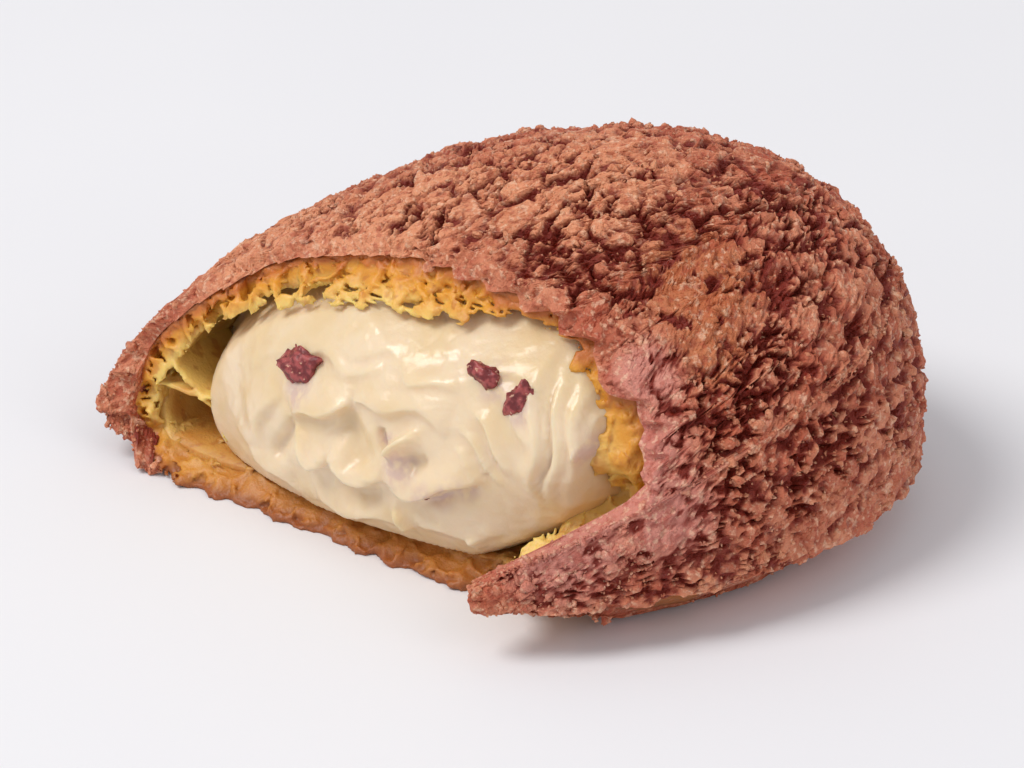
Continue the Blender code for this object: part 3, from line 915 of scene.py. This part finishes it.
def cream_inside(x, y, z):
    along = 0.8 * x - 0.6 * y
    sheet = cream_distance(along, z) + 0.6 * x + 0.8 * y
    sunk = CREAM_SUNK * np.exp(-((along - SUNK_ALONG) / SUNK_WIDTH) ** 2) * ease(z, 14.0 * MM, 22.0 * MM)
    roof = puff_depth(x, y, z, hollow_inset(x, y, z) + GAP + sunk)
    return np.minimum(np.minimum(roof, z - FLOOR - GAP), sheet)


def cream_skin(cells, pole, widest):
    out, turn = round_grid(cells)
    return reach_along(rays(pole, out * widest, turn), cream_inside, CREAM_HEART)


out, turn = round_grid(CREAM_BACK_CELLS)
tilt = math.pi - out * (math.pi - CREAM_TURN - 0.02)
cream_back = reach_along(rays(CREAM_POLE, tilt, turn), cream_inside, CREAM_HEART)
cream_mesh = closed_mesh("cream", cream_skin(CREAM_CELLS, CREAM_POLE, CREAM_TURN), CREAM_CELLS,
                         cream_back, CREAM_BACK_CELLS, 1)

# Each stroke: from, through and to (along the tear and up), its half width on its upper or
# left side and on its lower or right side, its height and how far it hangs, in millimetres.
STROKES = (
    ((-19, 15.5), (-7, 22.5), (6, 23.6), 2.6, 1.0, 0.7, 0.2),        # smooth band under the roof
    ((4, 23.6), (11, 24.6), (17, 23.0), 2.0, 0.8, 0.6, 0.1),
    ((-15.5, 8.0), (-17.0, 13.0), (-12.0, 15.2), 2.4, 0.7, 0.8, 0.0),   # left lobe
    ((-10.0, 13.2), (-6.5, 16.4), (-2.0, 17.0), 2.2, 0.7, 1.5, 0.3),    # crest left of the middle
    ((-2.0, 17.0), (3.0, 19.6), (9.5, 18.4), 2.4, 1.0, 0.9, 0.1),
    ((-4.5, 15.0), (-2.0, 13.6), (-0.5, 11.8), 1.8, 1.8, -1.0, 0.0),    # scoop below it
    ((-9.4, 12.4), (-9.0, 8.4), (-4.6, 10.4), 1.8, 0.45, 1.3, 0.7),     # lip of the upper mass
    ((-4.6, 10.4), (-1.5, 9.8), (2.0, 10.6), 1.8, 0.45, 1.3, 0.7),
    ((2.0, 10.6), (7.5, 9.6), (12.7, 14.2), 2.2, 0.5, 1.5, 0.7),
    ((-4.6, 8.8), (-1.5, 7.6), (2.0, 8.6), 0.9, 1.4, -0.8, 0.0),        # hollow below the lip
    ((5.0, 9.2), (9.0, 9.6), (12.5, 12.6), 0.5, 1.0, -0.8, 0.0),
    ((2.9, 13.4), (4.4, 14.6), (5.4, 16.4), 0.5, 1.0, 1.7, 0.0),        # little curl
    ((1.6, 16.2), (2.0, 15.0), (2.4, 13.4), 0.5, 0.4, -0.7, 0.0),       # sliver beside it
    ((5.2, 13.2), (6.4, 13.8), (7.6, 14.6), 0.8, 0.8, -0.8, 0.0),
    ((-7.4, 4.2), (-1.5, 4.8), (4.4, 6.4), 1.8, 0.7, 1.1, 0.3),         # lower roll and its drip
    ((3.6, 7.6), (4.1, 6.4), (4.3, 5.6), 0.6, 0.6, 0.9, 0.4),
    ((5.0, 6.2), (9.0, 5.2), (14.0, 7.6), 1.6, 0.8, 0.7, 0.2),
    ((11.0, 6.8), (11.4, 5.6), (11.6, 4.6), 0.7, 0.5, 0.9, 0.3),        # drip at the bottom
    ((16.0, 25.6), (19.2, 20.6), (18.8, 12.6), 0.5, 1.3, 1.2, 0.0),     # upright folds by the wall
    ((17.6, 25.8), (20.8, 20.4), (20.4, 12.4), 0.4, 0.9, 0.8, 0.0),
    ((19.5, 25.4), (22.4, 20.6), (22.0, 14.6), 0.4, 1.0, 1.0, 0.0),
    ((18.2, 24.0), (19.8, 19.6), (19.4, 14.0), 0.3, 0.3, -0.7, 0.0),
    ((13.6, 21.6), (16.4, 19.8), (17.6, 17.6), 0.7, 0.4, 0.4, 0.0),     # drag marks
    ((11.6, 19.6), (14.6, 18.0), (16.4, 14.6), 0.9, 0.3, 0.6, 0.0),
    ((10.8, 18.0), (13.4, 16.4), (15.0, 13.4), 0.5, 0.3, 0.4, 0.0),
    ((10.0, 16.2), (12.2, 14.8), (13.6, 12.0), 0.6, 0.3, 0.3, 0.0),
    ((-13.0, 7.0), (-12.5, 10.0), (-10.5, 12.0), 0.8, 1.2, -0.9, 0.0),
    ((-20.5, 8.6), (-17.0, 5.8), (-11.0, 4.6), 2.0, 0.7, 0.8, 0.2),
    ((21.6, 17.2), (23.6, 18.0), (24.4, 20.0), 1.0, 1.0, 1.2, 0.0),     # lump by the wall
    ((-8.0, 19.8), (-4.0, 19.6), (0.0, 20.8), 0.9, 0.6, 0.5, 0.0),
    ((3.0, 21.4), (6.0, 20.6), (9.0, 21.8), 0.8, 0.5, 0.6, 0.0),
)


STROKE_STRENGTH = 1.12


def curve_points(start, through, end, count=90):
    share = np.linspace(0.0, 1.0, count)[:, None]
    start, through, end = (np.array(spot, dtype=float) * MM for spot in (start, through, end))
    return start * (1 - share) ** 2 + through * 2 * share * (1 - share) + end * share ** 2


spots = places(cream_mesh)
along, height = spots @ ALONG_TEAR, spots[:, 2]
facing = ease(spots @ TOWARDS_TEAR, 4.0 * MM, 9.0 * MM)
stroked_along = along + 0.40 * MM * wave(height + 0.5 * along, 7.3 * MM)
stroked_up = height + 0.40 * MM * wave(along - 0.4 * height, 6.7 * MM)
outward = np.zeros(len(spots))
downward = np.zeros(len(spots))
for start, through, end, left_width, right_width, rise, hang in STROKES:
    path = curve_points(start, through, end)
    heading = np.gradient(path, axis=0)
    gap = np.hypot(stroked_along[:, None] - path[None, :, 0], stroked_up[:, None] - path[None, :, 1])
    nearest = np.argmin(gap, axis=1)
    share = nearest / (len(path) - 1)
    fade = 1.0 - np.clip(abs(share - 0.5) * 2.0, 0.0, 1.0) ** 4 * 0.8
    turn = (heading[nearest, 0] * (stroked_up - path[nearest, 1])
            - heading[nearest, 1] * (stroked_along - path[nearest, 0]))
    width = np.where(turn > 0.0, left_width, right_width) * MM
    bulge = np.exp(-(gap[np.arange(len(spots)), nearest] / width) ** 2) * fade
    outward += STROKE_STRENGTH * rise * MM * bulge
    downward += hang * MM * bulge
moved = spots + (facing * outward)[:, None] * (TOWARDS_TEAR + UPWARDS * 0.15)
moved -= (facing * downward)[:, None] * UPWARDS
cream_mesh.vertices.foreach_set("co", moved.ravel())
mark(cream_mesh, "facing", facing)

BITS = (    # place (along, up), half width, height and depth, and lean; all but the lean in mm
    ("berry_bit_left", (-10.4, 17.6), (3.1, 2.3, 1.6), 0.1, 0.75, 4),
    ("berry_bit_middle", (11.2, 22.9), (1.9, 1.6, 1.1), -0.4, 0.3, 9),
    ("speck", (7.0, 9.9), (0.3, 0.25, 0.3), 0.0, 0.1, 3),
    ("berry_bit_right", (15.8, 21.5), (2.2, 1.5, 1.4), 0.5, -0.6, 15),
)
STAINS = ((-10.0, 16.4, 3.0), (12.6, 22.6, 2.4), (15.8, 21.0, 2.4), (2.2, 14.8, 1.7), (4.2, 12.9, 2.6),
          (8.0, 10.6, 2.6), (11.0, 12.2, 2.4), (23.4, 17.6, 2.6))
stain = np.zeros(len(moved))
for stain_along, stain_height, radius in STAINS:
    away = np.hypot(along - stain_along * MM, height - stain_height * MM) / (radius * MM)
    stain = np.maximum(stain, 1.0 - ease(away, 0.2, 1.0))
mark(cream_mesh, "stain", stain * facing)

cream_finish, tree, shader, place, read = new_finish("cream", 0.28)
color = mixed(tree, ease(grain(tree, place, 6.0 * MM, 2.0), 0.35, 0.7), hue(233, 210, 178), hue(226, 199, 156))
stained = read("stain") * ease(grain(tree, place, 1.2 * MM, 2.0, 4.0), 0.35, 0.6)
color = mixed(tree, stained * 0.55, color, hue(196, 160, 164))
tree.links.new(color, shader.inputs["Base Color"])
roughen(tree, shader, grain(tree, place, 0.7 * MM, 3.0), 0.06 * MM)
translucent(shader, 0.45, 2.2 * MM, (1.0, 0.75, 0.45))

cream_recipe = Recipe("whipped surface", {"Fold height": 0.38 * MM, "Ripple height": 0.12 * MM})
tree = cream_recipe.tree
place = cream_recipe.place()
stir = stirred(tree, place, 9.0 * MM, 5.0 * MM)
folds = (grain(tree, stir, 5.0 * MM, 2.0) - 0.5) * 2.0 * cream_recipe.size("Fold height")
ripple = (grain(tree, stirred(tree, place, 4.0 * MM, 4.0 * MM), 1.6 * MM, 1.0, 2.0) - 0.5) * 2.0
height = (folds + ripple * cream_recipe.size("Ripple height")) * cream_recipe.read("facing")
normal = add_node(tree, "GeometryNodeInputNormal")
cream_recipe.shift(add_node(tree, "ShaderNodeVectorMath", {0: normal, "Scale": height}, operation="SCALE"))
cream = new_piece("cream_fill", cream_mesh)
cream_recipe.finish(cream, cream_finish)
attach(cream, "root")
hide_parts("cream_filling")

# ---------------------------------------------------------------------------
# Bits in the cream: chopped pieces of dark red dried fruit, folded in by hand. The
# larger ones stand half out of the surface and have stained the cream round them.
# ---------------------------------------------------------------------------
bits_finish, tree, shader, place, read = new_finish("fruit bits", 0.4)
color = mixed(tree, ease(grain(tree, place, 0.8 * MM, 2.0), 0.4, 0.62), hue(112, 34, 36), hue(168, 76, 74))
color = mixed(tree, ease(grain(tree, place, 0.5 * MM, 2.0, 6.0), 0.62, 0.7) * 0.7, color, hue(226, 180, 150))
tree.links.new(color, shader.inputs["Base Color"])
roughen(tree, shader, grain(tree, place, 0.4 * MM, 3.0), 0.15 * MM)
cream_spots = places(cream.data)
cream_along, cream_height, cream_out = (cream_spots @ ALONG_TEAR, cream_spots[:, 2], cream_spots @ TOWARDS_TEAR)


CHOPPED = 0.72
BIT_SUNK = 0.4 * MM
noise.seed_set(7)


def cream_surface(bit_along, bit_height):
    """The place on the cream's face at so far along the tear and up."""
    away = np.hypot(cream_along - bit_along * MM, cream_height - bit_height * MM) + (cream_out < 8.0 * MM)
    return cream_spots[np.argmin(away)]


for name, (bit_along, bit_height), half, lean, taper, seed in BITS:
    body = bmesh.new()
    bmesh.ops.create_icosphere(body, subdivisions=4, radius=1.0)
    middle = cream_surface(bit_along, bit_height) - TOWARDS_TEAR * BIT_SUNK
    cuts = [(noise.random_unit_vector(), CHOPPED) for _ in range(9)]
    for vert in body.verts:
        spot = vert.co.copy()
        for side, reach in cuts:
            spot -= side * max(0.0, spot.dot(side) - reach)
        spot *= 1.0 + 0.22 * noise.noise(spot * 2.4 + Vector((seed, 2, 5)))
        spot *= 1.0 + 0.12 * noise.noise(spot * 6.0 + Vector((seed, 7, 1)))
        flat = Vector((spot.x * half[0], spot.y * half[2], spot.z * half[1])) * MM
        if taper > 0.0:
            flat.x *= 1.0 + taper * 0.6 * spot.z          # a wedge, wide at the top
        else:
            flat.z += -taper * half[0] * MM * (spot.x * abs(spot.x) + 0.4 * spot.x * spot.x)     # a hook
        turned = (flat.x * math.cos(lean) - flat.z * math.sin(lean),
                  flat.x * math.sin(lean) + flat.z * math.cos(lean))
        world = middle + ALONG_TEAR * turned[0] + UPWARDS * turned[1] + TOWARDS_TEAR * flat.y
        vert.co = Vector(world)
    mesh = bpy.data.meshes.new(name)
    bmesh.ops.recalc_face_normals(body, faces=body.faces[:])
    body.to_mesh(mesh)
    body.free()
    mesh.shade_smooth()
    mesh.materials.append(bits_finish)
    bit = new_piece(name, mesh)
    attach(bit, "root")

# ---------------------------------------------------------------------------
# Table and light: a matt white surface under one large soft lamp at the upper left
# and a pale room. The camera looks down at the torn side.
# ---------------------------------------------------------------------------
VIEW_TILT = math.radians(26.0)
VIEW_DISTANCE = 0.4
VIEW_TARGET = Vector((0.0, 0.0, 15.0 * MM))
TABLE_SIZE = 3.0

table_mesh = bpy.data.meshes.new("table")
half = TABLE_SIZE / 2.0
table_mesh.from_pydata([(-half, -half, 0), (half, -half, 0), (half, half, 0), (-half, half, 0)], [], [(0, 1, 2, 3)])
table = new_piece("table", table_mesh)
table_finish, tree, shader, place, read = new_finish("table top", 0.7)
color = mixed(tree, grain(tree, place, 60.0 * MM, 2.0), hue(232, 231, 235), hue(236, 235, 238))
tree.links.new(color, shader.inputs["Base Color"])
table_mesh.materials.append(table_finish)

world = bpy.data.worlds.new("pale room")
bpy.context.scene.world = world
world.use_nodes = True
world.node_tree.nodes["Background"].inputs["Color"].default_value = (0.97, 0.98, 1.0, 1.0)
world.node_tree.nodes["Background"].inputs["Strength"].default_value = 0.55


def lamp(name, place, size, power, tint):
    light = bpy.data.lights.new(name, "AREA")
    light.shape = "DISK"
    light.size = size
    light.energy = power
    light.color = tint
    stand = bpy.data.objects.new(name, light)
    stand.location = place
    stand.rotation_euler = (VIEW_TARGET - Vector(place)).to_track_quat("-Z", "Y").to_euler()
    bpy.context.scene.collection.objects.link(stand)


lamp("window", (-0.80, -0.25, 1.25), 0.75, 13.5, (1.0, 0.99, 0.97))
lamp("fill", (0.7, -0.8, 0.8), 0.9, 2.6, (1.0, 1.0, 1.0))

camera_data = bpy.data.cameras.new("camera")
camera_data.sensor_width = 36.0
camera_data.lens = 139.45
camera_data.shift_x = 0.01245
camera_data.shift_y = -0.0281
camera_data.clip_start = 0.01
camera = bpy.data.objects.new("camera", camera_data)
camera.location = VIEW_TARGET + Vector((0.0, -math.cos(VIEW_TILT), math.sin(VIEW_TILT))) * VIEW_DISTANCE
camera.rotation_euler = (math.pi / 2 - VIEW_TILT, 0.0, 0.0)
bpy.context.scene.collection.objects.link(camera)
bpy.context.scene.camera = camera
bpy.context.scene.view_settings.view_transform = "Standard"
